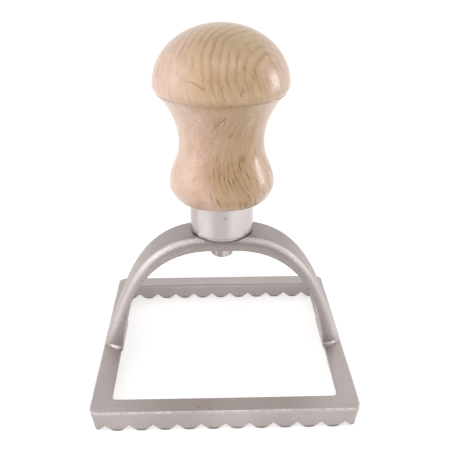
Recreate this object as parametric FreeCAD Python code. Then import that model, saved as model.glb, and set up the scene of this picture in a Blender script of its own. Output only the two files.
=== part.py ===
"""Square ravioli stamp: a cast metal cutter with an arched bridge, a ferrule, a shank and a turned knob.

Millimetres and degrees. The stamp stands on its teeth: Z is up, the origin is at the middle of the square
on the surface that the teeth rest on, X runs from one foot of the bridge to the other.
"""
import FreeCAD, Part
import math
import os

from FreeCAD import Vector

# Square rim of the casting
FRAME_WIDTH = 65.0             # top face, across the feet of the bridge
FRAME_DEPTH = 65.0             # top face, front to back
FRAME_HEIGHT = 6.0             # tooth tips to top face
RAIL_WIDTH = 5.1               # top face of the rails
WINDOW_LAND = 0.7              # upright height of the window's edge, under the top face
OUTER_CORNER_RADIUS = 2.4
WINDOW_CORNER_RADIUS = 1.2
OUTER_DRAFT = 7.5              # lean of the outer walls, inwards on the way down
WALL_TIP_THICKNESS = 2.2       # cutting wall at the tooth tips
RIM_EDGE_ROUND = 0.35          # outer edge of the top face
WINDOW_EDGE_ROUND = 0.3        # inner edge of the top face

# Scalloped lower edge
PITCHES_PER_SIDE = 11          # opposite walls are half a pitch apart, so that neighbouring cuts mesh
TOOTH_DEPTH = 1.9
TOOTH_FLANK_ANGLE = 44.0       # from the resting surface
TOOTH_TIP_ROUND = 1.5          # radius where the flank turns into the flat tip
GROOVE_INNER_OVERRUN = 0.1     # how far a groove is cut past the wall's inner face

# Bridge of the casting. Fullness is the length of a curve's handle, as a share of the way it has to go.
BRIDGE_WIDTH = 12.8            # front to back, along the inner face
BRIDGE_RISE = 32.7             # rim's top face to the top of the crown
CROWN_THICKNESS = 3.6
BRIDGE_OUTER_CROWN_FLAT = 6.6  # straight stretch in the middle of the crown
BRIDGE_OUTER_CROWN_FULLNESS = 0.68
BRIDGE_OUTER_FOOT_FULLNESS = 0.48
BRIDGE_OUTER_FOOT_LEAN = 23.0  # from upright
BRIDGE_INNER_CROWN_FLAT = 5.8
BRIDGE_INNER_CROWN_FULLNESS = 0.638
BRIDGE_INNER_FOOT_FULLNESS = 0.56
BRIDGE_INNER_FOOT_LEAN = 4.0
BRIDGE_OUTER_ROUND = 2.5       # rounding along the outer edges
BRIDGE_FLAT_LEFT = 0.15        # least flat width of the front face beside that rounding
FOOT_PROUD_INSIDE = 0.35       # how far a foot stands into the window
FOOT_OUTER_WIDTH = 6.4         # front to back where a foot ends at the rim's outer edge
FOOT_NARROWING_LENGTH = 6.6    # length over which a foot narrows towards the outer edge
FOOT_SET_IN = 0.1              # from the rim's outer edge
FOOT_LIP_WIDTH = 0.55          # small cast step around each foot
FOOT_LIP_HEIGHT = 0.65
FOOT_LIP_ROUND = 0.45
FOOT_LIP_FADE = 1.2            # how far the step has drawn in under the foot at the rim's outer edge
FOOT_LIP_SET_IN = 0.9          # where the step ends under the foot, from the rim's outer edge
FOOT_ROOT_DEPTH = 0.5          # how far a foot goes on below the top face

# Ferrule
FERRULE_DIAMETER = 16.2
FERRULE_LENGTH = 10.1
FERRULE_WALL = 0.8
FERRULE_BOTTOM_ROUND = 1.6
SEAT_DEPTH = 0.8               # of the ferrule's seat in the crown, which has the ferrule's shape
SEAT_CLEARANCE = 0.1           # radial, around the ferrule

# Shank
SHANK_DIAMETER = 5.7
SHANK_STUB_LENGTH = 3.75       # seen below the crown
SHANK_STUB_CHAMFER = 0.35
SHANK_SCREW_DIAMETER = 4.6
SHANK_SCREW_LENGTH = 22.0
SHANK_POINT_LENGTH = 3.5
SHANK_POINT_DIAMETER = 1.0
SHANK_FIT = 0.03               # radial, in the crown, the ferrule and the wood
BORE_POINT_ROOM = 1.0          # free length over the shank's point

# Knob, heights over the knob's shoulder on the ferrule
KNOB_SHOULDER_DIAMETER = 21.8
KNOB_BULGE_DIAMETER = 26.2
KNOB_BULGE_HEIGHT = 3.4
KNOB_SHOULDER_PULL = 1.05
KNOB_BULGE_LOWER_PULL = 0.35
KNOB_BULGE_UPPER_PULL = 4.9
KNOB_WAIST_DIAMETER = 21.05
KNOB_WAIST_HEIGHT = 14.4
KNOB_WAIST_PULL = 5.2
KNOB_NECK_DIAMETER = 31.4
KNOB_NECK_HEIGHT = 26.6
KNOB_NECK_FLARE = 46.0         # from upright, where the neck meets the crease
KNOB_NECK_PULL = 3.5
KNOB_CREASE_DEPTH = 0.05       # small turned groove between neck and cap
KNOB_CREASE_HEIGHT = 0.3
KNOB_CAP_FLARE = 32.0          # from upright, where the cap leaves the crease
KNOB_CAP_DIAMETER = 32.75
KNOB_CAP_HEIGHT = 28.5         # of the widest place
KNOB_CAP_LOWER_PULL = 0.9
KNOB_CAP_SIDE_PULL = 7.2
KNOB_CAP_TOP_PULL = 9.4
KNOB_HEIGHT = 42.1
TENON_LENGTH = 7.0
TENON_FIT = 0.05               # radial, in the ferrule
TENON_CHAMFER = 0.6

# Working values
CUT_OVERRUN = 1.0              # how far a cut runs past the faces it opens
TOLERANCE = 0.01               # for finding edges by their place
EDGE_SAMPLES = 5               # points tested on an edge

# Heights that follow
CROWN_TOP = FRAME_HEIGHT + BRIDGE_RISE
CROWN_UNDERSIDE = CROWN_TOP - CROWN_THICKNESS
SEAT_HEIGHT = CROWN_TOP - SEAT_DEPTH
KNOB_BASE = SEAT_HEIGHT + FERRULE_LENGTH
SHANK_BOTTOM = CROWN_UNDERSIDE - SHANK_STUB_LENGTH
SHANK_SCREW_START = KNOB_BASE - TENON_LENGTH
SHANK_TOP = SHANK_SCREW_START + SHANK_SCREW_LENGTH

UP = Vector(0, 0, 1)
ACROSS = Vector(1, 0, 0)
BACK = Vector(0, 1, 0)
ORIGIN = Vector(0, 0, 0)


def line(start, end):
    return Part.LineSegment(start, end).toShape()


def bezier(*points):
    curve = Part.BezierCurve()
    curve.setPoles(list(points))
    return curve.toShape()


def mirrored_x(point):
    return Vector(-point.x, point.y, point.z)


def sorted_wire(edges):
    return Part.Wire(Part.__sortEdges__(edges))


def edges_where(shape, test):
    """Edges whose every sampled point passes the test."""
    return [edge for edge in shape.Edges if all(test(point) for point in edge.discretize(EDGE_SAMPLES))]


def turned(edges):
    """Solid of revolution about the Z axis, from a closed half section in the XZ plane."""
    return Part.Face(sorted_wire(edges)).revolve(ORIGIN, UP, 360)


def at(radius, height):
    return Vector(radius, 0, height)


def polyline(*points):
    return [line(start, end) for start, end in zip(points, points[1:])]


def quarter_round(start, centre, end):
    """Arc about a centre between two points that lie straight above and straight beside it."""
    radius = (start - centre).Length
    middle = centre + ((start - centre) + (end - centre)).normalize() * radius
    return Part.Arc(start, middle, end).toShape()


def rounded_rectangle(width, depth, radius, height):
    """Closed outline with round corners, centred on the Z axis at a height."""
    x, y = width / 2, depth / 2
    corner = radius * (1 - math.sqrt(0.5))
    edges = []
    for side in (1, -1):
        edges.append(line(Vector(side * x, radius - y, height), Vector(side * x, y - radius, height)))
        edges.append(line(Vector(radius - x, side * y, height), Vector(x - radius, side * y, height)))
        for end in (1, -1):
            across = Vector(side * (x - radius), end * y, height)
            middle = Vector(side * (x - corner), end * (y - corner), height)
            along = Vector(side * x, end * (y - radius), height)
            edges.append(Part.Arc(across, middle, along).toShape())
    return sorted_wire(edges)


def tapered_block(lower, upper):
    """Solid between two outlines at different heights, with straight sides."""
    return Part.makeLoft([lower, upper], True, True)


def outer_inset(height):
    """How far the outer wall lies inside the top face's outline at a height."""
    return (FRAME_HEIGHT - height) * math.tan(math.radians(OUTER_DRAFT))


def inner_inset(height):
    """The same for the inner face, which leans from the window's edge out to the thin cutting edge."""
    at_tips = outer_inset(0) + WALL_TIP_THICKNESS
    return at_tips + (RAIL_WIDTH - at_tips) * height / (FRAME_HEIGHT - WINDOW_LAND)


def rim_outline(inset, height, radius):
    return rounded_rectangle(FRAME_WIDTH - 2 * inset, FRAME_DEPTH - 2 * inset, radius, height)


def rim():
    """Square rim: flat top face, walls that thin downwards, window through it."""
    block = tapered_block(rim_outline(outer_inset(0), 0, OUTER_CORNER_RADIUS),
                          rim_outline(0, FRAME_HEIGHT, OUTER_CORNER_RADIUS))
    top_edges = edges_where(block, lambda p: abs(p.z - FRAME_HEIGHT) < TOLERANCE)
    block = block.makeFillet(RIM_EDGE_ROUND, top_edges)

    land = FRAME_HEIGHT - WINDOW_LAND
    cavity = tapered_block(rim_outline(inner_inset(0), 0, WINDOW_CORNER_RADIUS),
                           rim_outline(RAIL_WIDTH, land, WINDOW_CORNER_RADIUS))
    window_outline = rim_outline(RAIL_WIDTH, 0, WINDOW_CORNER_RADIUS)
    window = Part.Face(window_outline).extrude(UP * FRAME_HEIGHT)
    opened = block.cut(cavity.fuse(window))
    reach_x = FRAME_WIDTH / 2 - RAIL_WIDTH + TOLERANCE
    reach_y = FRAME_DEPTH / 2 - RAIL_WIDTH + TOLERANCE

    def on_window_edge(point):
        on_top = abs(point.z - FRAME_HEIGHT) < TOLERANCE
        return on_top and abs(point.x) < reach_x and abs(point.y) < reach_y
    return opened.makeFillet(WINDOW_EDGE_ROUND, edges_where(opened, on_window_edge))


def groove_profile(y):
    """Section of one groove, across Y: straight flanks that round into the flat tips of the teeth."""
    angle = math.radians(TOOTH_FLANK_ANGLE)
    r = TOOTH_TIP_ROUND
    centre_x = (r * (1 - math.cos(angle)) + TOOTH_DEPTH * math.cos(angle)) / math.sin(angle)
    root = Vector(0, y, TOOTH_DEPTH)
    flank_end = Vector(centre_x - r * math.sin(angle), y, r * (1 - math.cos(angle)))
    half = angle / 2
    round_middle = Vector(centre_x - r * math.sin(half), y, r * (1 - math.cos(half)))
    tip = Vector(centre_x, y, 0)
    below = Vector(centre_x, y, -CUT_OVERRUN)
    edges = [
        line(root, flank_end),
        Part.Arc(flank_end, round_middle, tip).toShape(),
        line(tip, below),
        line(below, mirrored_x(below)),
        line(mirrored_x(below), mirrored_x(tip)),
        Part.Arc(mirrored_x(tip), mirrored_x(round_middle), mirrored_x(flank_end)).toShape(),
        line(mirrored_x(flank_end), root),
    ]
    return Part.Face(Part.Wire(edges))


def wall_grooves(length, face, count):
    """A row of grooves in the front wall, whose outer face at the tips is so far from the middle."""
    outer = face + CUT_OVERRUN
    inner = face + outer_inset(0) - inner_inset(TOOTH_DEPTH) - GROOVE_INNER_OVERRUN
    groove = groove_profile(-outer).extrude(BACK * (outer - inner))
    pitch = length / PITCHES_PER_SIDE
    row = []
    for index in range(count):
        copy = groove.copy()
        copy.translate(ACROSS * (index - (count - 1) / 2) * pitch)
        row.append(copy)
    return row


def all_grooves():
    """Grooves of the four walls: at whole pitches in front and left, at half pitches behind and right."""
    width = FRAME_WIDTH - 2 * outer_inset(0)
    depth = FRAME_DEPTH - 2 * outer_inset(0)
    walls = (
        (width, depth / 2, PITCHES_PER_SIDE, 0),
        (width, depth / 2, PITCHES_PER_SIDE - 1, 180),
        (depth, width / 2, PITCHES_PER_SIDE, 270),
        (depth, width / 2, PITCHES_PER_SIDE - 1, 90),
    )
    cutters = []
    for length, face, count, turn in walls:
        for groove in wall_grooves(length, face, count):
            groove.rotate(ORIGIN, UP, turn)
            cutters.append(groove)
    return cutters


def arch(foot, foot_lean, foot_fullness, crown, crown_fullness):
    """Outline from foot to foot, given the right foot and the right end of the crown's straight stretch."""
    angle = math.radians(foot_lean)
    rising = Vector(-math.sin(angle), 0, math.cos(angle)) * foot_fullness * (crown.z - foot.z)
    arriving = ACROSS * crown_fullness * (foot.x - crown.x)
    half = bezier(foot, foot + rising, crown + arriving, crown)
    return [half, line(crown, mirrored_x(crown)), half.mirror(ORIGIN, ACROSS)]


def outer_foot():
    return Vector(FRAME_WIDTH / 2 - FOOT_SET_IN, 0, FRAME_HEIGHT)


def inner_foot():
    return Vector(FRAME_WIDTH / 2 - RAIL_WIDTH - FOOT_PROUD_INSIDE, 0, FRAME_HEIGHT)


def outer_curve():
    """The bridge's outer outline, in the XZ plane."""
    crown = Vector(BRIDGE_OUTER_CROWN_FLAT / 2, 0, CROWN_TOP)
    return arch(outer_foot(), BRIDGE_OUTER_FOOT_LEAN, BRIDGE_OUTER_FOOT_FULLNESS,
                crown, BRIDGE_OUTER_CROWN_FULLNESS)


def inner_curve():
    """The bridge's inner outline, in the XZ plane."""
    crown = Vector(BRIDGE_INNER_CROWN_FLAT / 2, 0, CROWN_UNDERSIDE)
    return arch(inner_foot(), BRIDGE_INNER_FOOT_LEAN, BRIDGE_INNER_FOOT_FULLNESS,
                crown, BRIDGE_INNER_CROWN_FULLNESS)


def plan_outline(margin, end_margin):
    """The bridge seen from above, widened by margins: even in the middle, narrowing in arcs to its ends."""
    width = BRIDGE_WIDTH / 2 + margin
    end_width = FOOT_OUTER_WIDTH / 2 + end_margin
    end = FRAME_WIDTH / 2
    start = end - FOOT_NARROWING_LENGTH
    narrowing = width - end_width
    half_turn = math.atan(narrowing / FOOT_NARROWING_LENGTH)
    radius = FOOT_NARROWING_LENGTH / math.sin(2 * half_turn)
    middle = Vector(start + radius * math.sin(half_turn), width - radius * (1 - math.cos(half_turn)), 0)
    corner = Part.Arc(Vector(start, width, 0), middle, Vector(end, end_width, 0)).toShape()
    left = corner.mirror(ORIGIN, ACROSS)
    edges = [
        corner,
        left,
        corner.mirror(ORIGIN, BACK),
        left.mirror(ORIGIN, BACK),
        line(Vector(start, width, 0), Vector(-start, width, 0)),
        line(Vector(start, -width, 0), Vector(-start, -width, 0)),
        line(Vector(end, end_width, 0), Vector(end, -end_width, 0)),
        line(Vector(-end, end_width, 0), Vector(-end, -end_width, 0)),
    ]
    return Part.Face(sorted_wire(edges))


def bridge():
    """Arched band with rounded outer edges, narrowing at its feet."""
    outer = outer_curve()
    inner = inner_curve()
    soles = [line(outer_foot(), inner_foot()), line(mirrored_x(outer_foot()), mirrored_x(inner_foot()))]
    outline = Part.Face(sorted_wire(outer + soles + inner))
    band = outline.extrude(BACK * BRIDGE_WIDTH)
    band.translate(BACK * (-BRIDGE_WIDTH / 2))
    band = band.common(plan_outline(0, 0).extrude(UP * (CROWN_TOP + CUT_OVERRUN)))
    outer_wire = sorted_wire(outer)

    def on_outer_edge(point):
        flat = Part.Vertex(point.x, 0, point.z)
        off_outline = flat.distToShape(outer_wire)[0]
        return off_outline < TOLERANCE and abs(point.y) > FOOT_OUTER_WIDTH / 2 - TOLERANCE
    thinnest = outer_wire.distToShape(sorted_wire(inner))[0]
    rounding = min(BRIDGE_OUTER_ROUND, thinnest - BRIDGE_FLAT_LEFT)
    return band.makeFillet(rounding, edges_where(band, on_outer_edge))


def foot_root(side):
    """Cast step around a foot, and the foot's end that goes on down the inside of the window."""
    bottom = FRAME_HEIGHT - FOOT_ROOT_DEPTH
    top = FRAME_HEIGHT + FOOT_LIP_HEIGHT
    inner = inner_foot().x
    outer = FRAME_WIDTH / 2 - FOOT_LIP_SET_IN
    half_width = BRIDGE_WIDTH / 2 + FOOT_LIP_WIDTH + CUT_OVERRUN
    block = Part.makeBox(outer - inner, 2 * half_width, top - bottom, Vector(inner, -half_width, bottom))
    root = block.common(plan_outline(FOOT_LIP_WIDTH, -FOOT_LIP_FADE).extrude(UP * (top + CUT_OVERRUN)))
    side_edges = edges_where(root, lambda p: abs(p.z - top) < TOLERANCE and abs(p.y) > TOLERANCE)
    root = root.makeFillet(FOOT_LIP_ROUND, side_edges)
    return root if side > 0 else root.mirror(ORIGIN, ACROSS)


def ferrule_seat():
    """Room for the ferrule's lower end, with the same rounding."""
    side = FERRULE_DIAMETER / 2 + SEAT_CLEARANCE
    centre = at(side - FERRULE_BOTTOM_ROUND, SEAT_HEIGHT + FERRULE_BOTTOM_ROUND)
    low = at(centre.x, SEAT_HEIGHT)
    high = at(side, centre.z)
    above = CROWN_TOP + FERRULE_BOTTOM_ROUND + CUT_OVERRUN
    edges = polyline(high, at(side, above), at(0, above), at(0, SEAT_HEIGHT), low)
    edges.append(quarter_round(low, centre, high))
    return turned(edges)


def cutter_frame():
    """The whole casting: toothed rim, feet, bridge, ferrule seat and shank bore."""
    casting = rim().fuse([bridge(), foot_root(1), foot_root(-1)])
    bore_bottom = CROWN_UNDERSIDE - CUT_OVERRUN
    bore = Part.makeCylinder(SHANK_DIAMETER / 2 + SHANK_FIT, CROWN_TOP - bore_bottom, UP * bore_bottom)
    return casting.cut([ferrule_seat(), bore] + all_grooves())


def ferrule():
    """Drawn metal cap: straight side, rounded bottom, hole for the shank."""
    side = FERRULE_DIAMETER / 2
    bottom = SEAT_HEIGHT
    top = KNOB_BASE
    hole = SHANK_DIAMETER / 2 + SHANK_FIT
    centre = at(side - FERRULE_BOTTOM_ROUND, bottom + FERRULE_BOTTOM_ROUND)
    outer_low = at(centre.x, bottom)
    outer_high = at(side, centre.z)
    inner_low = at(centre.x, bottom + FERRULE_WALL)
    inner_high = at(side - FERRULE_WALL, centre.z)
    edges = polyline(inner_low, at(hole, bottom + FERRULE_WALL), at(hole, bottom), outer_low)
    edges.append(quarter_round(outer_low, centre, outer_high))
    edges += polyline(outer_high, at(side, top), at(side - FERRULE_WALL, top), inner_high)
    edges.append(quarter_round(inner_high, centre, inner_low))
    return turned(edges)


def shank():
    """Metal stud: chamfered stub below, thinner pointed screw part in the wood."""
    radius = SHANK_DIAMETER / 2
    screw = SHANK_SCREW_DIAMETER / 2
    return turned(polyline(
        at(0, SHANK_BOTTOM),
        at(radius - SHANK_STUB_CHAMFER, SHANK_BOTTOM),
        at(radius, SHANK_BOTTOM + SHANK_STUB_CHAMFER),
        at(radius, SHANK_SCREW_START),
        at(screw, SHANK_SCREW_START),
        at(screw, SHANK_TOP - SHANK_POINT_LENGTH),
        at(SHANK_POINT_DIAMETER / 2, SHANK_TOP),
        at(0, SHANK_TOP),
        at(0, SHANK_BOTTOM),
    ))


def knob_outside():
    """Turned outline from the shoulder on the ferrule to the top of the cap."""
    shoulder = at(KNOB_SHOULDER_DIAMETER / 2, KNOB_BASE)
    bulge = at(KNOB_BULGE_DIAMETER / 2, KNOB_BASE + KNOB_BULGE_HEIGHT)
    waist = at(KNOB_WAIST_DIAMETER / 2, KNOB_BASE + KNOB_WAIST_HEIGHT)
    neck = at(KNOB_NECK_DIAMETER / 2, KNOB_BASE + KNOB_NECK_HEIGHT)
    crease = neck + Vector(-KNOB_CREASE_DEPTH, 0, KNOB_CREASE_HEIGHT / 2)
    cap_start = neck + Vector(0, 0, KNOB_CREASE_HEIGHT)
    cap = at(KNOB_CAP_DIAMETER / 2, KNOB_BASE + KNOB_CAP_HEIGHT)
    top = at(0, KNOB_BASE + KNOB_HEIGHT)
    neck_angle = math.radians(KNOB_NECK_FLARE)
    cap_angle = math.radians(KNOB_CAP_FLARE)
    along_neck = Vector(math.sin(neck_angle), 0, math.cos(neck_angle))
    along_cap = Vector(math.sin(cap_angle), 0, math.cos(cap_angle))
    return [
        bezier(shoulder, shoulder + ACROSS * KNOB_SHOULDER_PULL, bulge - UP * KNOB_BULGE_LOWER_PULL, bulge),
        bezier(bulge, bulge + UP * KNOB_BULGE_UPPER_PULL, waist - UP * KNOB_WAIST_PULL, waist),
        bezier(waist, waist + UP * KNOB_WAIST_PULL, neck - along_neck * KNOB_NECK_PULL, neck),
        line(neck, crease),
        line(crease, cap_start),
        bezier(cap_start, cap_start + along_cap * KNOB_CAP_LOWER_PULL, cap - UP * KNOB_CAP_LOWER_PULL, cap),
        bezier(cap, cap + UP * KNOB_CAP_SIDE_PULL, top + ACROSS * KNOB_CAP_TOP_PULL, top),
    ]


def knob():
    """Turned wooden knob with a tenon in the ferrule and a blind bore for the shank."""
    tenon = FERRULE_DIAMETER / 2 - FERRULE_WALL - TENON_FIT
    tenon_end = KNOB_BASE - TENON_LENGTH
    bore = SHANK_SCREW_DIAMETER / 2 + SHANK_FIT
    bore_top = SHANK_TOP + BORE_POINT_ROOM
    inside = polyline(
        at(0, KNOB_BASE + KNOB_HEIGHT),
        at(0, bore_top),
        at(bore, bore_top - SHANK_POINT_LENGTH),
        at(bore, tenon_end),
        at(tenon - TENON_CHAMFER, tenon_end),
        at(tenon, tenon_end + TENON_CHAMFER),
        at(tenon, KNOB_BASE),
        at(KNOB_SHOULDER_DIAMETER / 2, KNOB_BASE),
    )
    return turned(knob_outside() + inside)


PIECES = {
    "cutter_frame": cutter_frame,
    "ferrule": ferrule,
    "shank": shank,
    "knob": knob,
}


if __name__ == "__main__":
    os.makedirs("parts", exist_ok=True)
    for name, make in PIECES.items():
        make().exportStep(f"parts/{name}.step")
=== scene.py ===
"""Looks of the square ravioli stamp: beech, cast metal, bright ferrule, studio floor and lamps. In metres."""

import math

import bpy
from mathutils import Matrix, Vector


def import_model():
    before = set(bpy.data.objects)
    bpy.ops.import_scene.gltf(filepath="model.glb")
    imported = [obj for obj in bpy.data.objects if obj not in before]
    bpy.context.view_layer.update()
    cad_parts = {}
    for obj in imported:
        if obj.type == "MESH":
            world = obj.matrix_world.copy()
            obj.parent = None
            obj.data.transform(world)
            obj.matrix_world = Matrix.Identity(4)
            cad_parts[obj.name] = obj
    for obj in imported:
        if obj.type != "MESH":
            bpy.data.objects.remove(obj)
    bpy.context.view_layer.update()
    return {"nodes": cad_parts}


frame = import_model()


# Node trees

RAY_SAMPLES = 8       # for each look around a point, at rounded edges and in narrow gaps


class Tree:
    """Short way to write the nodes of a material or a world."""

    def __init__(self, owner, output="ShaderNodeOutputMaterial"):
        self.owner = owner
        owner.use_nodes = True
        self.nodes = owner.node_tree.nodes
        self.links = owner.node_tree.links
        self.nodes.clear()
        self.output = self.nodes.new(output)

    def put(self, socket, value):
        """Links another node's socket to this one, or sets its value."""
        if isinstance(value, bpy.types.NodeSocket):
            self.links.new(value, socket)
        else:
            socket.default_value = value

    def add(self, kind, settings=None, **inputs):
        """A new node. In the inputs' names an underscore stands for a space."""
        node = self.nodes.new(kind)
        for key, value in (settings or {}).items():
            setattr(node, key, value)
        for key, value in inputs.items():
            self.put(node.inputs[key.replace("_", " ")], value)
        return node

    def place(self):
        """Place on the object, in metres."""
        return self.add("ShaderNodeTexCoord").outputs["Object"]

    def split(self, vector):
        """The three parts of a vector."""
        return self.add("ShaderNodeSeparateXYZ", Vector=vector).outputs

    def facing(self, direction):
        """1 where the surface faces a direction or its opposite, 0 across it."""
        normal = self.add("ShaderNodeNewGeometry").outputs["Normal"]
        return self.size(self.vector("DOT_PRODUCT", normal, direction))

    def mapped(self, vector, scale, turn=(0, 0, 0)):
        """The vector scaled and turned, in degrees. A pattern is drawn out where its scale is small."""
        node = self.add("ShaderNodeMapping", Vector=vector)
        node.inputs["Scale"].default_value = scale
        node.inputs["Rotation"].default_value = [math.radians(angle) for angle in turn]
        return node.outputs["Vector"]

    def noise(self, vector, scale, detail=2.0, rough=0.5):
        """Soft noise around 0.5. The scale says how many waves there are to a metre."""
        node = self.add("ShaderNodeTexNoise", Vector=vector, Scale=scale, Detail=detail, Roughness=rough)
        return node.outputs["Fac"]

    def noise_vector(self, vector, scale):
        """Three noises as the parts of one vector."""
        return self.add("ShaderNodeTexNoise", Vector=vector, Scale=scale).outputs["Color"]

    def patches(self, vector, scale, low, high, weak=0.0, strong=1.0, detail=2.0, rough=0.5):
        """Noise cut into patches: weak where it is below low, strong where it is above high."""
        return self.step(self.noise(vector, scale, detail, rough), low, high, weak, strong)

    def cells(self, vector, scale, near, far, dimensions="3D"):
        """1 around scattered points, fading to 0 between two shares of a cell."""
        settings = {"voronoi_dimensions": dimensions}
        node = self.add("ShaderNodeTexVoronoi", settings, Vector=vector, Scale=scale)
        return self.step(node.outputs["Distance"], near, far, 1.0, 0.0)

    def math(self, operation, first, second=0.0, clamp=False):
        node = self.nodes.new("ShaderNodeMath")
        node.operation = operation
        node.use_clamp = clamp
        self.put(node.inputs[0], first)
        self.put(node.inputs[1], second)
        return node.outputs[0]

    def times(self, *factors):
        product = factors[0]
        for factor in factors[1:]:
            product = self.math("MULTIPLY", product, factor)
        return product

    def plus(self, *terms):
        total = terms[0]
        for term in terms[1:]:
            total = self.math("ADD", total, term)
        return total

    def minus(self, first, second):
        return self.math("SUBTRACT", first, second)

    def larger(self, first, second):
        return self.math("MAXIMUM", first, second)

    def size(self, value):
        """The value without its sign."""
        return self.math("ABSOLUTE", value)

    def vector(self, operation, first, second):
        node = self.add("ShaderNodeVectorMath", {"operation": operation})
        self.put(node.inputs[0], first)
        self.put(node.inputs[1], second)
        return node.outputs["Value" if operation in ("DOT_PRODUCT", "DISTANCE") else "Vector"]

    def step(self, value, low, high, out_low=0.0, out_high=1.0):
        """Smooth step from out_low, where the value is below low, to out_high, where it is above high."""
        node = self.add("ShaderNodeMapRange", {"interpolation_type": "SMOOTHSTEP"})
        for key, number in (("Value", value), ("From Min", low), ("From Max", high), ("To Min", out_low),
                            ("To Max", out_high)):
            self.put(node.inputs[key], number)
        return node.outputs["Result"]

    def blend(self, factor, first, second):
        """The first number where the factor is 0, the second where it is 1."""
        return self.plus(first, self.times(factor, self.minus(second, first)))

    def mix(self, factor, first, second):
        """The first colour where the factor is 0, the second where it is 1."""
        node = self.nodes.new("ShaderNodeMix")
        node.data_type = "RGBA"
        self.put(node.inputs[0], factor)
        self.put(node.inputs[6], first)
        self.put(node.inputs[7], second)
        return node.outputs[2]

    def rounded(self, radius):
        """Normals as if every edge were rounded."""
        return self.add("ShaderNodeBevel", {"samples": RAY_SAMPLES}, Radius=radius).outputs["Normal"]

    def bump(self, height, strength, distance, radius):
        """Normals of a relief on a surface with rounded edges."""
        node = self.add("ShaderNodeBump", Height=height, Strength=strength, Distance=distance,
                        Normal=self.rounded(radius))
        return node.outputs["Normal"]

    def principled(self, **inputs):
        node = self.add("ShaderNodeBsdfPrincipled", **inputs)
        self.links.new(node.outputs["BSDF"], self.output.inputs["Surface"])
        return node


def srgb(red, green, blue):
    """Colour as seen on a screen, 0 to 255, to the linear values that a shader takes."""
    shares = [level / 255 for level in (red, green, blue)]
    linear = [share / 12.92 if share <= 0.04045 else ((share + 0.055) / 1.055) ** 2.4 for share in shares]
    return (*linear, 1.0)


MARK_CORE = 0.2       # share of a mark's half width over which it is full


def mark(tree, place, start, end, half_width):
    """1 near the stretch between two points, fading to 0 at the half width from it."""
    start, end = Vector(start), Vector(end)
    along = end - start
    from_start = tree.vector("SUBTRACT", place, start)
    gone = tree.vector("DOT_PRODUCT", from_start, along)
    share = tree.math("MULTIPLY", gone, 1 / along.length_squared, clamp=True)
    foot = tree.add("ShaderNodeVectorMath", {"operation": "SCALE"}, Scale=share)
    foot.inputs[0].default_value = along
    off = tree.vector("DISTANCE", from_start, foot.outputs["Vector"])
    return tree.step(off, MARK_CORE * half_width, half_width, 1.0, 0.0)


# Beech: its growth rings and fibres

CAP_MIDDLE = (0.0, 0.0, 0.0765)
CAP_AXIS = Vector((0.73, -0.64, 0.24)).normalized()  # through the middle of the rings that show on the cap
CAP_CONE = math.radians(30)         # how far the rings lean out around that axis
BODY_AXIS = (0.70, -0.71, 0.0)      # across the rings below the cap
BODY_SHIFT = -0.0104                # so that the rings of body and cap meet at the front
BODY_TO_CAP = (0.0700, 0.0775)      # heights between which the body turns into the cap
RING_SPACING = 0.0019
RING_CREST = 0.88                   # share of a ring's width at which it is darkest
RING_WAVES, RING_ROUGHNESS = 1.9, 0.48  # how far the rings stray, in rings
SWAY = 0.0042                       # how far the fibres stray sideways
LEAN = -0.0016                      # how far they lean sideways at most, as a sine of the height
LEAN_START, LEAN_RATE = 0.040, 241.0  # the height at which the sine is 0, and its radians to a metre
JITTER = 0.0008                     # raggedness of the streaks and of the red column's rungs

# Beech: where its tones change, as ranges of height, of depth across the rings, or of distance

EYE_RINGS = (0.0016, 0.0036)        # from the cap's axis: the rings set in around the eye
EYE_PINK = (0.0026, 0.0046)         # from the cap's axis: the pink eye ends
LEFT_RINGS = (-0.0190, -0.0120)     # depth: the rings are weaker at the left
LEFT_TOP_RINGS = (0.0800, 0.0840)   # height: less so near the top of the cap
LOW_CAP_RINGS = (0.0765, 0.0805)    # height: the rings are weaker low on the cap
PINK_TO_TAN = (-0.0090, 0.0006)     # depth: pink at the left, tan in the middle
TAN_RAGGED = 0.0130                 # how far that border strays
BODY_RIGHT = (0.0066, 0.0098)       # x: pinker again at the right of the body
CAP_RIGHT = (0.0095, 0.0125)        # x: the same on the cap
DARK_TOP = (0.0810, 0.0890)         # height: darker at the top
CLEAR_RINGS = (0.0795, 0.0850)      # height: the rings grow stronger
UPPER_BODY = (0.0580, 0.0720)       # height: the flecks grow weaker

# Beech: its marks

SKIN_RADIUS = 0.0115                # at which the dark flecks have their true width
FLECK_WIDTH_SHARE = 0.09            # of their length
FLECKS, FINE_FLECKS = 1500.0, 2900.0  # to a metre across
FLECK_KINK = 0.0007                 # how far they stray sideways
TICKS = 1500.0                      # fine reddish marks to a metre
RUNGS = 2400.0                      # of the red column, waves to a metre of height
RED_COLUMN = (                      # follows the skin from the waist down into the bulge
    ((-0.0039, -0.0102, 0.0661), (-0.0048, -0.0097, 0.0570)),
    ((-0.0048, -0.0097, 0.0570), (-0.0050, -0.0120, 0.0460)),
)
RED_COLUMN_HALF_WIDTH = 0.0022
STREAKS = (                         # start, end, half width and strength
    ((-0.0072, -0.0141, 0.0800), (-0.0058, -0.0148, 0.0797), 0.00030, 0.42),
    ((-0.0058, -0.0148, 0.0797), (-0.0040, -0.0157, 0.0785), 0.00034, 0.58),
    ((-0.0025, -0.0113, 0.0681), (0.0007, -0.0132, 0.0714), 0.00032, 1.00),
    ((0.0040, -0.0158, 0.0782), (0.0041, -0.0159, 0.0771), 0.00050, 0.60),
    ((-0.0002, -0.0161, 0.0790), (0.0005, -0.0164, 0.0760), 0.00036, 0.35),
)
CREASE_HEIGHT = 0.07475             # the groove where the neck meets the cap
CREASE_STRAY = 0.0004               # how far its painted shade line strays up and down
CREASE_EDGE = (0.0001, 0.0012)      # distances from it between which that painted shade fades

# Beech: its colours and varnish

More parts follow.
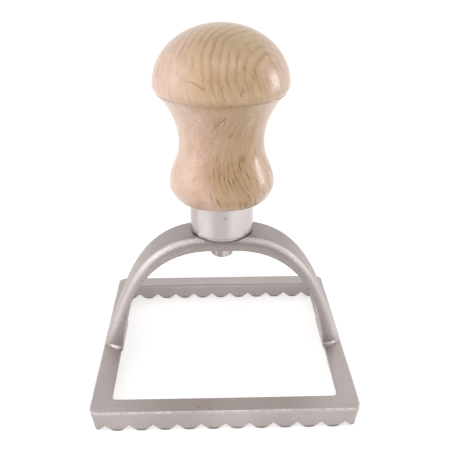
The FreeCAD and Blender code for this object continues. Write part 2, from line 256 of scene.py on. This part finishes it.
PINK_WOOD = srgb(237, 200, 178)
TAN_BODY, TAN_CAP = srgb(215, 178, 137), srgb(228, 192, 151)
LONG_SHADES = srgb(194, 156, 118)
TOP_TONE = srgb(186, 160, 121)
RING_IN_PINK, RING_IN_TAN = srgb(190, 138, 112), srgb(170, 131, 92)
FIBRE = srgb(184, 145, 112)
FLECK_HALO, FLECK = srgb(178, 144, 88), srgb(118, 66, 12)
RED_MARK = srgb(204, 146, 120)
STREAK = srgb(150, 106, 80)
# painted shade in the groove where the neck meets the cap
PAINTED_CREASE_SHADE = srgb(166, 122, 90)
WOOD_RELIEF, WOOD_RELIEF_DEPTH, WOOD_ROUNDING = 0.22, 0.00015, 0.0006
VARNISH, VARNISH_ROUGHNESS = 0.85, 0.20


def growth(tree, place, wood, in_cap):
    """Depth across the growth rings, and distance from the cap's axis.

    The rings are flat layers in the body and cones around the axis in the cap.
    """
    from_middle = tree.vector("SUBTRACT", place, CAP_MIDDLE)
    along = tree.vector("DOT_PRODUCT", from_middle, CAP_AXIS)
    square = tree.minus(tree.vector("DOT_PRODUCT", from_middle, from_middle), tree.times(along, along))
    aside = tree.math("SQRT", tree.larger(square, 0.0))
    cap = tree.minus(tree.times(along, math.cos(CAP_CONE)), tree.times(aside, math.sin(CAP_CONE)))
    body = tree.plus(tree.vector("DOT_PRODUCT", wood, BODY_AXIS), BODY_SHIFT)
    return tree.blend(in_cap, body, cap), aside


def beech():
    """Varnished beech with growth rings, dark ray flecks, reddish marks and scratches."""
    tree = Tree(bpy.data.materials.new("beech_varnished"))
    place = tree.place()
    x, y, height = tree.split(place)
    facing = tree.facing(BODY_AXIS)
    in_cap = tree.step(height, *BODY_TO_CAP)

    # the fibres sway, and lean one way in the bulge and the other way in the waist
    lean = tree.times(tree.math("SINE", tree.times(tree.plus(height, -LEAN_START), LEAN_RATE)), LEAN)
    sway = tree.vector("MULTIPLY", tree.noise_vector(place, 38.0), (SWAY, SWAY, 0.0))
    wood = tree.vector("ADD", place, sway)
    wood = tree.vector("ADD", wood, tree.add("ShaderNodeCombineXYZ", X=lean).outputs["Vector"])
    fibre = tree.noise(tree.mapped(wood, (1, 1, 0.05)), 1100.0, detail=3.0, rough=0.6)
    ragged = tree.vector("SUBTRACT", tree.noise_vector(place, 420.0), (0.5, 0.5, 0.5))

    # each ring darkens slowly and ends at once, and the rings are weaker in some places
    depth, aside = growth(tree, place, wood, in_cap)
    waves = tree.times(tree.noise(place, 60.0, detail=3.0), RING_WAVES)
    roughness = tree.times(tree.noise(place, 520.0, detail=3.0, rough=0.7), RING_ROUGHNESS)
    count = tree.plus(tree.times(depth, 1 / RING_SPACING), waves, roughness)
    share = tree.math("FRACT", count)
    start = tree.times(tree.noise(place, 90.0), 0.7)
    ring = tree.times(tree.step(share, start, RING_CREST), tree.step(share, RING_CREST, 1.0, 1.0, 0.0))
    uneven = tree.patches(tree.mapped(wood, (1, 1, 0.4)), 140.0, 0.38, 0.60, weak=0.12, detail=4.0, rough=0.6)
    around_eye = tree.blend(in_cap, 0.30, tree.step(aside, *EYE_RINGS))
    at_left = tree.step(depth, *LEFT_RINGS, tree.step(height, *LEFT_TOP_RINGS, 0.35, 0.9), 1.0)
    low_on_cap = tree.blend(in_cap, 1.0, tree.step(height, *LOW_CAP_RINGS, 0.45, 1.0))
    ring = tree.times(ring, uneven, around_eye, at_left, low_on_cap)

    # tan in the middle of the front, pinker to both sides
    stray = tree.plus(tree.noise(tree.mapped(wood, (1, 1, 0.2)), 300.0, detail=4.0, rough=0.6), -0.5)
    stray = tree.times(stray, TAN_RAGGED)
    tan = tree.step(tree.plus(depth, stray), *PINK_TO_TAN)
    from_middle = tree.plus(x, stray)
    at_right = tree.blend(in_cap, tree.step(from_middle, *BODY_RIGHT, 1.0, 0.42),
                          tree.step(from_middle, *CAP_RIGHT, 1.0, 0.30))
    tan = tree.times(tan, at_right, tree.blend(in_cap, 1.0, tree.step(aside, *EYE_PINK, 0.35, 1.0)))
    base = tree.mix(tan, PINK_WOOD, tree.mix(in_cap, TAN_BODY, TAN_CAP))
    drawn_out = tree.mapped(wood, (1, 1, 0.12))
    shades = tree.patches(drawn_out, 420.0, 0.42, 0.66, strong=0.28, detail=4.0, rough=0.6)
    base = tree.mix(shades, base, LONG_SHADES)
    base = tree.mix(tree.step(height, *DARK_TOP, 0.0, 0.48), base, TOP_TONE)
    ring_colour = tree.mix(tan, RING_IN_PINK, RING_IN_TAN)
    base = tree.mix(tree.times(ring, tree.step(height, *CLEAR_RINGS, 0.44, 0.68)), base, ring_colour)
    base = tree.mix(tree.step(fibre, 0.48, 0.74, 0.0, 0.38), base, FIBRE)

    # short dark ends of the rays, where the cut runs along the rings
    around = tree.times(tree.math("ARCTAN2", x, tree.times(y, -1.0)), SKIN_RADIUS)
    kinks = tree.times(tree.split(ragged)["X"], FLECK_KINK)
    along = tree.times(height, FLECK_WIDTH_SHARE)
    skin = tree.add("ShaderNodeCombineXYZ", X=tree.plus(around, lean, kinks), Y=along).outputs["Vector"]
    fine = tree.times(tree.cells(skin, FINE_FLECKS, 0.06, 0.26, "2D"), 0.45)
    fleck = tree.plus(tree.cells(skin, FLECKS, 0.05, 0.22, "2D"), fine)
    fleck = tree.times(fleck, tree.patches(place, 520.0, 0.36, 0.60, weak=0.20))
    on_body = tree.times(tree.patches(place, 170.0, 0.32, 0.50, weak=0.45), tree.step(facing, 0.40, 0.62),
                         tree.step(height, *UPPER_BODY, 1.0, 0.50))
    on_cap = tree.times(tree.patches(place, 240.0, 0.46, 0.58), tree.step(facing, 0.55, 0.80), 0.50)
    where = tree.blend(in_cap, on_body, on_cap)
    base = tree.mix(tree.times(tree.cells(skin, FLECKS, 0.10, 0.55, "2D"), where, 0.30), base, FLECK_HALO)
    fleck = tree.math("MULTIPLY", fleck, where, clamp=True)
    base = tree.mix(fleck, base, FLECK)

    # fine reddish marks, and a column of short rungs
    shaken = tree.vector("ADD", place, tree.vector("MULTIPLY", ragged, (JITTER, JITTER, JITTER)))
    ticks = tree.cells(tree.mapped(wood, (1, 1, 0.6)), TICKS, 0.16, 0.36)
    ticks = tree.times(ticks, tree.patches(place, 300.0, 0.48, 0.60), tree.blend(in_cap, 0.30, 0.14))
    upper, lower = (mark(tree, place, *ends, RED_COLUMN_HALF_WIDTH) for ends in RED_COLUMN)
    rungs = tree.patches(tree.mapped(shaken, (0.3, 0.3, 1.0)), RUNGS, 0.42, 0.58, weak=0.25)
    column = tree.times(tree.larger(upper, lower), rungs, 0.55)
    base = tree.mix(tree.plus(ticks, column), base, RED_MARK)

    # single streaks and scratches, and painted shade along the groove where the neck meets the cap
    broken = tree.patches(place, 900.0, 0.36, 0.60, weak=0.55, detail=3.0, rough=0.7)
    for start, end, half_width, strength in STREAKS:
        streak = mark(tree, shaken, start, end, half_width)
        base = tree.mix(tree.times(streak, strength, broken), base, STREAK)
    stray = tree.times(tree.noise(place, 300.0), CREASE_STRAY)
    off_crease = tree.size(tree.plus(height, -CREASE_HEIGHT, stray))
    base = tree.mix(tree.step(off_crease, *CREASE_EDGE, 0.24, 0.0), base, PAINTED_CREASE_SHADE)

    relief = tree.minus(tree.times(fibre, 0.4), tree.times(fleck, 0.3))
    shader = tree.principled(Base_Color=base, Roughness=tree.step(fibre, 0.3, 0.8, 0.42, 0.56),
                             Normal=tree.bump(relief, WOOD_RELIEF, WOOD_RELIEF_DEPTH, WOOD_ROUNDING))
    shader.inputs["Coat Weight"].default_value = VARNISH
    shader.inputs["Coat Roughness"].default_value = VARNISH_ROUGHNESS
    return tree.owner


# Metals: where their tones change, as ranges of height or of distance from the middle outwards

SEAT = (0.0330, 0.0350)             # height: the painted shade in the gap around the ferrule's seat begins
SEAT_GAP = 0.0010                   # how far the painted shade reaches
RIM_TOP, RIM_EDGE = 0.0060, 0.0325  # the rim's top face, and its outer edge from the middle
INSIDE_TO_OUTSIDE = (0.0300, 0.0310)  # between the inner and the outer faces of the rim's walls
RIM_OUTER_STRIP = (RIM_EDGE - 0.0005, RIM_EDGE - 0.0001)  # outwards: the rim's worn top edge, with its painted highlight, begins
RIM_TOP_STRIP = (RIM_TOP - 0.0005, RIM_TOP - 0.0002)      # height: it begins
WALL_TOP = (RIM_TOP - 0.0010, RIM_TOP - 0.0005)           # height: the painted shade on the walls ends
LIP_INSIDE = (RIM_EDGE - 0.0048, RIM_EDGE - 0.0038)       # outwards: the painted highlights on the lips at the arch's feet begin
LIP_OUTSIDE = (RIM_EDGE - 0.0028, RIM_EDGE - 0.0014)      # outwards: they end
LIP_BOTTOM = (RIM_TOP + 0.00005, RIM_TOP + 0.0002)        # height: they begin
LIP_TOP = (RIM_TOP + 0.0003, RIM_TOP + 0.0007)            # height: they end
BRIDGE_START = 0.0090               # from here up the casting's skin is coarser
FEET = (RIM_TOP + 0.0010, BRIDGE_START)  # height: the painted highlights on the arch's rounded edges begin
LEGS_TO_CROWN = (0.0250, 0.0360)    # height: they grow stronger
CROWN = (0.0300, 0.0365)            # height: the painted shade on the crown under the knob begins
TIPS = (0.0002, 0.0010)             # height: the dark tooth tips end
FERRULE_MIDDLE = (0.0008, 0.0034)   # from the middle to the side: the painted dark reflection down the middle ends
FERRULE_LEFT = (-0.0064, -0.0050)   # x: the painted dark reflection on the left side ends
FERRULE_SPECK = ((0.0005, -0.0081, 0.0448), (0.0007, -0.0081, 0.0448), 0.00035)  # start, end, half width
FRONT_TO_BACK = (0, 1, 0)

# Metals: their colours

CAST_DARK, CAST_LIGHT = srgb(186, 176, 173), srgb(197, 188, 185)
GRAIN_DARK, GRAIN_GLINT = srgb(142, 131, 128), srgb(240, 234, 232)
# painted shade on the crown under the knob
CROWN_SHADE = srgb(150, 137, 134)
# painted shade on the rim's walls
WALL_SHADE = srgb(140, 131, 128)
TIP_TONE = srgb(116, 106, 100)
PIT_TONE = srgb(112, 98, 94)
# painted highlights, partly real wear on the rim's edge
WEAR_AND_HIGHLIGHT = srgb(252, 249, 248)
# painted shade in the gap around the ferrule's lower end, on the casting and on the ferrule
CAST_GAP_SHADE, FERRULE_GAP_SHADE = srgb(66, 54, 52), srgb(60, 50, 50)
BRIGHT_DARK, BRIGHT_LIGHT = srgb(197, 189, 187), srgb(209, 202, 200)
BRIGHT_SCRATCH = srgb(140, 130, 128)
# painted dark reflection on the ferrule
PAINTED_DARK_REFLECTION = srgb(168, 158, 156)
BRIGHT_SPECK = srgb(120, 110, 112)
STEEL_DARK, STEEL_LIGHT = srgb(156, 147, 144), srgb(212, 204, 201)


def metal(tree, base, rough, normal):
    """The material of a node tree, finished as bare metal."""
    shader = tree.principled(Base_Color=base, Roughness=rough, Normal=normal)
    shader.inputs["Metallic"].default_value = 1.0
    return tree.owner


def seat_gap_shade(tree, place):
    """Painted shade: 1 deep in the narrow gap around the ferrule's lower end, 0 in the open."""
    around = tree.add("ShaderNodeAmbientOcclusion", {"samples": RAY_SAMPLES}, Distance=SEAT_GAP)
    in_gap = tree.step(around.outputs["AO"], 0.25, 0.75, 1.0, 0.0)
    return tree.times(in_gap, tree.step(tree.split(place)["Z"], *SEAT))


def cast_metal():
    """Cast aluminium with a coarse grain, painted highlights on its edges that are partly real wear at the
    rim, painted shade on the walls, the crown and in the gap at the ferrule, and dark tooth tips.
    """
    tree = Tree(bpy.data.materials.new("cast_aluminium"))
    place = tree.place()
    x, y, height = tree.split(place)
    outwards = tree.larger(tree.size(x), tree.size(y))
    on_bridge = tree.step(height, RIM_TOP, BRIDGE_START)
    cloud = tree.noise(place, 55.0, detail=3.0)
    grain = tree.patches(place, 2900.0, 0.32, 0.68, detail=3.0, rough=0.7)
    grain = tree.times(grain, tree.blend(on_bridge, 0.45, 1.0))
    pit = tree.times(tree.cells(place, 620.0, 0.05, 0.22), tree.patches(place, 260.0, 0.56, 0.68))

    # painted highlights: the rim's top edge, where they are partly real wear, the lips at the feet and the
    # rounded edges of the arch
    chips = tree.times(tree.patches(place, 150.0, 0.40, 0.60, weak=0.45, detail=3.0, rough=0.7),
                       tree.patches(place, 1300.0, 0.36, 0.56, weak=0.40, detail=3.0, rough=0.7))
    rim_edge_wear_and_highlight = tree.times(tree.step(outwards, *RIM_OUTER_STRIP), tree.step(height, *RIM_TOP_STRIP))
    lip_highlight = tree.times(tree.step(height, *LIP_BOTTOM), tree.step(height, *LIP_TOP, 1.0, 0.0),
                     tree.step(outwards, *LIP_INSIDE), tree.step(outwards, *LIP_OUTSIDE, 1.0, 0.0))
    turned = tree.facing(FRONT_TO_BACK)
    arch_edge_highlight = tree.times(tree.step(turned, 0.25, 0.60), tree.step(turned, 0.80, 0.97, 1.0, 0.0),
                           tree.step(height, *FEET), tree.step(height, *LEGS_TO_CROWN, 0.24, 1.0),
                           tree.step(grain, 0.2, 0.8, 0.35, 0.7))
    rim_wear_and_highlights = tree.larger(tree.times(rim_edge_wear_and_highlight, chips), tree.times(lip_highlight, 0.7))
    wear_and_highlight = tree.larger(rim_wear_and_highlights, arch_edge_highlight)

    base = tree.mix(tree.step(cloud, 0.3, 0.7), CAST_DARK, CAST_LIGHT)
    base = tree.mix(tree.times(grain, 0.40), base, GRAIN_DARK)
    base = tree.mix(tree.times(grain, tree.patches(place, 3600.0, 0.58, 0.72, strong=0.5)), base, GRAIN_GLINT)
    # painted shade: the crown darker under the knob
    base = tree.mix(tree.step(height, *CROWN, 0.0, 0.35), base, CROWN_SHADE)
    # painted shade on the rim's walls, deeper on their inner faces
    sides = tree.step(outwards, *INSIDE_TO_OUTSIDE, 0.36, 0.14)
    walls = tree.times(tree.step(height, *WALL_TOP, 1.0, 0.0), sides)
    base = tree.mix(walls, base, WALL_SHADE)
    base = tree.mix(tree.step(height, *TIPS, 0.7, 0.0), base, TIP_TONE)
    base = tree.mix(tree.times(pit, 0.6), base, PIT_TONE)
    # painted highlights, partly real wear on the rim's edge
    base = tree.mix(tree.times(wear_and_highlight, 0.90), base, WEAR_AND_HIGHLIGHT)
    # painted shade in the gap at the ferrule's seat
    base = tree.mix(tree.times(seat_gap_shade(tree, place), 0.8), base, CAST_GAP_SHADE)

    rough = tree.plus(tree.step(cloud, 0.3, 0.7, 0.48, 0.40), tree.times(on_bridge, 0.12))
    rough = tree.minus(rough, tree.times(wear_and_highlight, 0.10))
    relief = tree.minus(tree.plus(tree.times(grain, 0.35), tree.times(cloud, 0.6)), pit)
    return metal(tree, base, rough, tree.bump(relief, strength=0.35, distance=0.00024, radius=0.0005))


def bright_metal():
    """Polished metal with painted dark reflections down its middle and its left side, faint scratches and one
    speck.
    """
    tree = Tree(bpy.data.materials.new("polished_ferrule"))
    place = tree.place()
    lines = tree.noise(tree.mapped(place, (0.04, 0.04, 1.0)), 2600.0, rough=0.6)
    smudge = tree.noise(place, 160.0, detail=3.0)
    scratch = tree.noise(tree.mapped(place, (1, 1, 0.05), (0, 0, 20)), 1400.0, rough=0.7)
    base = tree.mix(tree.step(smudge, 0.35, 0.7), BRIGHT_DARK, BRIGHT_LIGHT)
    base = tree.mix(tree.step(scratch, 0.66, 0.74, 0.0, 0.35), base, BRIGHT_SCRATCH)
    # painted dark reflections, down the middle and on the left side
    side = tree.plus(tree.split(place)["X"], tree.times(smudge, 0.001))
    in_middle = tree.step(tree.size(side), *FERRULE_MIDDLE, 0.65, 0.0)
    at_left = tree.step(side, *FERRULE_LEFT, 0.65, 0.0)
    painted_reflections = tree.larger(in_middle, at_left)
    base = tree.mix(painted_reflections, base, PAINTED_DARK_REFLECTION)
    base = tree.mix(tree.times(mark(tree, place, *FERRULE_SPECK), 0.6), base, BRIGHT_SPECK)
    # painted shade in the gap at the seat
    base = tree.mix(tree.times(seat_gap_shade(tree, place), 0.8), base, FERRULE_GAP_SHADE)
    rough = tree.plus(tree.step(smudge, 0.3, 0.7, 0.16, 0.24), tree.times(lines, 0.05))
    return metal(tree, base, rough, tree.bump(lines, strength=0.10, distance=0.00006, radius=0.0003))


def turned_steel():
    """Plain turned metal, with its tool lines around and painted reflections in bands along it."""
    tree = Tree(bpy.data.materials.new("turned_steel"))
    place = tree.place()
    lines = tree.noise(tree.mapped(place, (0.05, 0.05, 1.0)), 3200.0, rough=0.6)
    smudge = tree.noise(place, 240.0, detail=3.0)
    # painted reflections: soft light and dark bands along the stub
    painted_reflection_bands = tree.noise(tree.mapped(place, (1, 1, 0.03)), 620.0)
    base = tree.mix(tree.step(painted_reflection_bands, 0.35, 0.65), STEEL_DARK, STEEL_LIGHT)
    rough = tree.plus(tree.step(smudge, 0.3, 0.7, 0.28, 0.36), tree.times(lines, 0.10))
    return metal(tree, base, rough, tree.bump(lines, strength=0.35, distance=0.0001, radius=0.0003))


def dress(node, material):
    """Gives a piece its one material."""
    mesh = frame["nodes"][node].data
    mesh.materials.clear()
    mesh.materials.append(material)


dress("knob", beech())
dress("cutter_frame", cast_metal())
dress("ferrule", bright_metal())
dress("shank", turned_steel())


# Floor and light

CENTRE = (0, 0, 0.045)         # the lamps point at it
FLOOR_HALF = 2.5               # half its width
FLOOR_DARK, FLOOR_LIGHT = (0.80, 0.80, 0.80, 1), (0.84, 0.84, 0.84, 1)
FLOOR_GLOW = 0.58              # added for camera, glossy and transmission rays, to make the floor white
WHITE = (1, 1, 1, 1)
SKY_ON_SURFACES = 0.55         # strength of the surrounding white as light
SKY_IN_FRONT = 0.30            # of its reflection, in front of the object and low down
SKY_OVERHEAD = 0.80            # of its reflection, high up
FRONT_END = (-0.70, 0.0)       # y of the directions between which the front ends
LOW_END = (0.60, 0.85)         # z of the directions between which low down ends
OVERHEAD_START = (0.70, 0.95)  # z of the directions between which high up starts


def seen_directly(tree, rays):
    """1 for camera, glossy and transmission rays."""
    either = tree.larger(rays["Is Camera Ray"], rays["Is Glossy Ray"])
    return tree.larger(either, rays["Is Transmission Ray"])


def floor():
    """Pale plane under the object, which keeps its shadow."""
    tree = Tree(bpy.data.materials.new("pale_floor"))
    base = tree.mix(tree.noise(tree.place(), 300.0, detail=3.0), FLOOR_DARK, FLOOR_LIGHT)
    diffuse = tree.add("ShaderNodeBsdfDiffuse", Color=base)
    rays = tree.add("ShaderNodeLightPath").outputs
    glow = tree.add("ShaderNodeEmission", Strength=tree.times(seen_directly(tree, rays), FLOOR_GLOW))
    both = tree.nodes.new("ShaderNodeAddShader")
    tree.links.new(diffuse.outputs[0], both.inputs[0])
    tree.links.new(glow.outputs[0], both.inputs[1])
    tree.links.new(both.outputs[0], tree.output.inputs["Surface"])
    mesh = bpy.data.meshes.new("floor")
    corners = [(x * FLOOR_HALF, y * FLOOR_HALF, 0) for x, y in ((-1, -1), (1, -1), (1, 1), (-1, 1))]
    mesh.from_pydata(corners, [], [(0, 1, 2, 3)])
    mesh.materials.append(tree.owner)
    plane = bpy.data.objects.new("floor", mesh)
    bpy.context.scene.collection.objects.link(plane)


def lamp(name, place, size, power):
    """Rectangular lamp that points at the object, its power in watts."""
    data = bpy.data.lights.new(name, "AREA")
    data.shape = "RECTANGLE"
    data.size, data.size_y = size
    data.energy = power
    lamp_object = bpy.data.objects.new(name, data)
    lamp_object.location = place
    lamp_object.rotation_euler = (Vector(CENTRE) - Vector(place)).to_track_quat("-Z", "Y").to_euler()
    bpy.context.scene.collection.objects.link(lamp_object)


def world():
    """White all round; the metal sees a darker room in front."""
    tree = Tree(bpy.data.worlds.new("studio"), "ShaderNodeOutputWorld")
    bpy.context.scene.world = tree.owner
    rays = tree.add("ShaderNodeLightPath").outputs
    direction = tree.split(tree.add("ShaderNodeTexCoord").outputs["Generated"])
    in_front = tree.times(tree.step(direction["Y"], *FRONT_END, 1.0, 0.0),
                          tree.step(direction["Z"], *LOW_END, 1.0, 0.0))
    overhead = tree.step(direction["Z"], *OVERHEAD_START, 1.0, SKY_OVERHEAD)
    seen = tree.blend(rays["Is Glossy Ray"], 1.0, tree.blend(in_front, overhead, SKY_IN_FRONT))
    strength = tree.blend(seen_directly(tree, rays), SKY_ON_SURFACES, seen)
    background = tree.add("ShaderNodeBackground", Color=WHITE, Strength=strength)
    tree.links.new(background.outputs[0], tree.output.inputs["Surface"])


floor()
world()
lamp("left", place=(-0.68, -0.22, 0.24), size=(0.80, 0.68), power=2.45)
lamp("right", place=(0.71, 0.09, 0.14), size=(0.20, 0.27), power=1.02)
lamp("top", place=(0.0, -0.36, 0.74), size=(0.6, 0.25), power=0.7)


# Camera

AZIMUTH, ELEVATION, ROLL = (math.radians(angle) for angle in (-1.405, 24.946, -0.183))
FOCAL_PIXELS = 674.404
IMAGE_PIXELS = 452
SENSOR = 36.0                  # millimetres, as the lens is
DISTANCE = 0.188744            # from the target
OFFSET_X, OFFSET_Y = -0.000951, -0.030038  # how far right of and above the view's middle the target lies
TARGET = Vector((0, 0, RIM_TOP))  # the middle of the rim's top face
CLIP_START = 0.01


def camera():
    """Camera of the photo, turned around the target and then shifted in its own plane."""
    back = Vector((math.sin(AZIMUTH) * math.cos(ELEVATION), -math.cos(AZIMUTH) * math.cos(ELEVATION),
                   math.sin(ELEVATION)))
    level = Vector((0, 0, 1)).cross(back).normalized()
    upright = back.cross(level)
    right = math.cos(ROLL) * level + math.sin(ROLL) * upright
    up = math.cos(ROLL) * upright - math.sin(ROLL) * level
    data = bpy.data.cameras.new("camera")
    data.sensor_width = SENSOR
    data.lens = FOCAL_PIXELS / IMAGE_PIXELS * SENSOR
    data.clip_start = CLIP_START
    eye = bpy.data.objects.new("camera", data)
    place = TARGET + back * DISTANCE - right * OFFSET_X - up * OFFSET_Y
    turn = Matrix((right, up, back)).transposed().to_4x4()
    eye.matrix_world = Matrix.Translation(place) @ turn
    bpy.context.scene.collection.objects.link(eye)
    bpy.context.scene.camera = eye


camera()
bpy.context.scene.view_settings.view_transform = "Standard"
